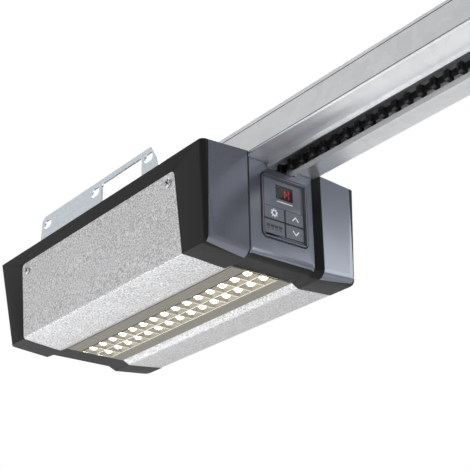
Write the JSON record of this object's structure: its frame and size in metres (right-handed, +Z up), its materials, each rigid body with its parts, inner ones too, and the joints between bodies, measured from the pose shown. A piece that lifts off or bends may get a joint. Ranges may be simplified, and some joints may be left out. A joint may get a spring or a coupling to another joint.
{
  "type": "garage door opener",
  "caption": "Ceiling-hung garage door opener: lit motor head with key field, belt rail, sliding trolley and hinged door arm.",
  "frame": {"origin": "middle of the ceiling bracket holes, on the head's middle plane", "axes": "+X along the rail from the motor head towards the door, +Y to the head's right side, +Z up"},
  "size_m": [1.0161, 0.1796, 0.312],
  "materials": {
    "dark_plastic": "fine grained anthracite plastic",
    "panel_blue_grey": "blue-grey metallic lacquer, satin",
    "cover_metal": "grained silver sheet",
    "galvanised": "galvanised sheet",
    "zinc_steel": "zinc plated steel",
    "key_grey": "satin blue-grey foil",
    "bezel": "satin light grey",
    "display_glass": "dark red translucent window",
    "taupe_plastic": "matt taupe plastic",
    "lens_clear": "clear plastic lens",
    "reflector": "metallised reflector",
    "emitter": "lit emitter",
    "circuit_board": "solder resist",
    "components": "moulded components",
    "transformer": "varnished laminations",
    "rubber_black": "belt rubber",
    "gear_plastic": "acetal",
    "motor_metal": "zinc coated can",
    "gearbox_cast": "die cast",
    "trolley_plastic": "glass filled plastic",
    "signal_red": "red plastic"
  },
  "bodies": {
    "head": {"front_cap": "dark_plastic", "rear_cap": "dark_plastic", "base_tray": "dark_plastic", "cover_sheet": "cover_metal", "cover_screws": "zinc_steel", "panel_left": "panel_blue_grey", "panel_middle": "panel_blue_grey", "panel_right": "panel_blue_grey", "keypad_bezel": "bezel", "keypad_plate": "key_grey", "pictogram_plate": "key_grey", "display_window": "display_glass", "display_board": "circuit_board", "led_frame": "taupe_plastic", "led_lens": "lens_clear", "led_reflector": "reflector", "led_board": "circuit_board", "led_emitters": "emitter", "chassis_plate": "galvanised", "bracket_left": "galvanised", "bracket_right": "galvanised", "bracket_screws": "zinc_steel", "rail": "galvanised", "rail_clamp": "galvanised", "clamp_screws": "zinc_steel", "drive_belt": "rubber_black", "bearing_upper": "zinc_steel", "bearing_lower": "zinc_steel", "gearbox_housing": "gearbox_cast", "gearbox_cover": "gearbox_cast", "motor_can": "motor_metal", "transformer": "transformer", "control_board": "circuit_board", "board_parts": "components", "mains_inlet": "dark_plastic", "idler_axle": "zinc_steel", "tensioner_fork": "galvanised", "tension_screw": "zinc_steel", "tension_nut": "zinc_steel", "rail_end_plate": "galvanised", "header_bracket": "galvanised", "header_screws": "zinc_steel"},
    "worm": {"worm_shaft": "zinc_steel", "motor_rotor": "motor_metal"},
    "drive": {"drive_shaft": "zinc_steel", "worm_wheel": "gear_plastic", "drive_sprocket": "gear_plastic"},
    "idler": {"idler_pulley": "gear_plastic"},
    "trolley": {"trolley_body": "trolley_plastic", "trolley_pads": "gear_plastic", "belt_coupler": "zinc_steel", "lever_pin": "zinc_steel", "arm_pin": "zinc_steel"},
    "lever": {"release_lever": "signal_red"},
    "arm": {"door_arm": "galvanised"},
    "door_end": {"door_bracket": "galvanised", "door_pin": "zinc_steel"},
    "programme": {"programme_key": "key_grey"},
    "up": {"up_key": "key_grey"},
    "down": {"down_key": "key_grey"}
  },
  "joints": [
    {"name": "trolley_slide", "type": "slide", "parent": "head", "child": "trolley", "axis": [1, 0, 0], "range_m": [-0.42, 0]},
    {"name": "drive_turn", "type": "hinge", "parent": "head", "child": "drive", "pos_m": [0.138, 0, -0.0315], "axis": [0, 0, 1], "range_deg": [-5, 1743]},
    {"name": "idler_turn", "type": "hinge", "parent": "head", "child": "idler", "pos_m": [0.775, 0, -0.0315], "axis": [0, 0, 1], "range_deg": [-5, 1743]},
    {"name": "worm_turn", "type": "hinge", "parent": "head", "child": "worm", "pos_m": [0.138, 0.034, -0.0675], "axis": [1, 0, 0], "range_deg": [-5, 34755]},
    {"name": "lever_pull", "type": "hinge", "parent": "trolley", "child": "lever", "pos_m": [0.667, 0, -0.0505], "axis": [0, 1, 0], "range_deg": [0, 50], "stiffness_Nm_per_rad": 0.3},
    {"name": "arm_swing", "type": "hinge", "parent": "trolley", "child": "arm", "pos_m": [0.714, 0, -0.0475], "axis": [0, 1, 0], "range_deg": [-45, 35]},
    {"name": "door_end_swing", "type": "hinge", "parent": "arm", "child": "door_end", "pos_m": [0.83445, 0, -0.21952], "axis": [0, 1, 0], "range_deg": [-35, 35]},
    {"name": "programme_press", "type": "slide", "parent": "head", "child": "programme", "axis": [-1, 0, 0], "range_m": [0, 0.001], "stiffness_N_per_m": 400},
    {"name": "up_press", "type": "slide", "parent": "head", "child": "up", "axis": [-1, 0, 0], "range_m": [0, 0.001], "stiffness_N_per_m": 400},
    {"name": "down_press", "type": "slide", "parent": "head", "child": "down", "axis": [-1, 0, 0], "range_m": [0, 0.001], "stiffness_N_per_m": 400}
  ],
  "couplings": [
    {"joint": "drive_turn", "follows": "trolley_slide", "rad_per_m": -72.202},
    {"joint": "idler_turn", "follows": "trolley_slide", "rad_per_m": -72.202},
    {"joint": "worm_turn", "follows": "trolley_slide", "rad_per_m": -1444}
  ]
}
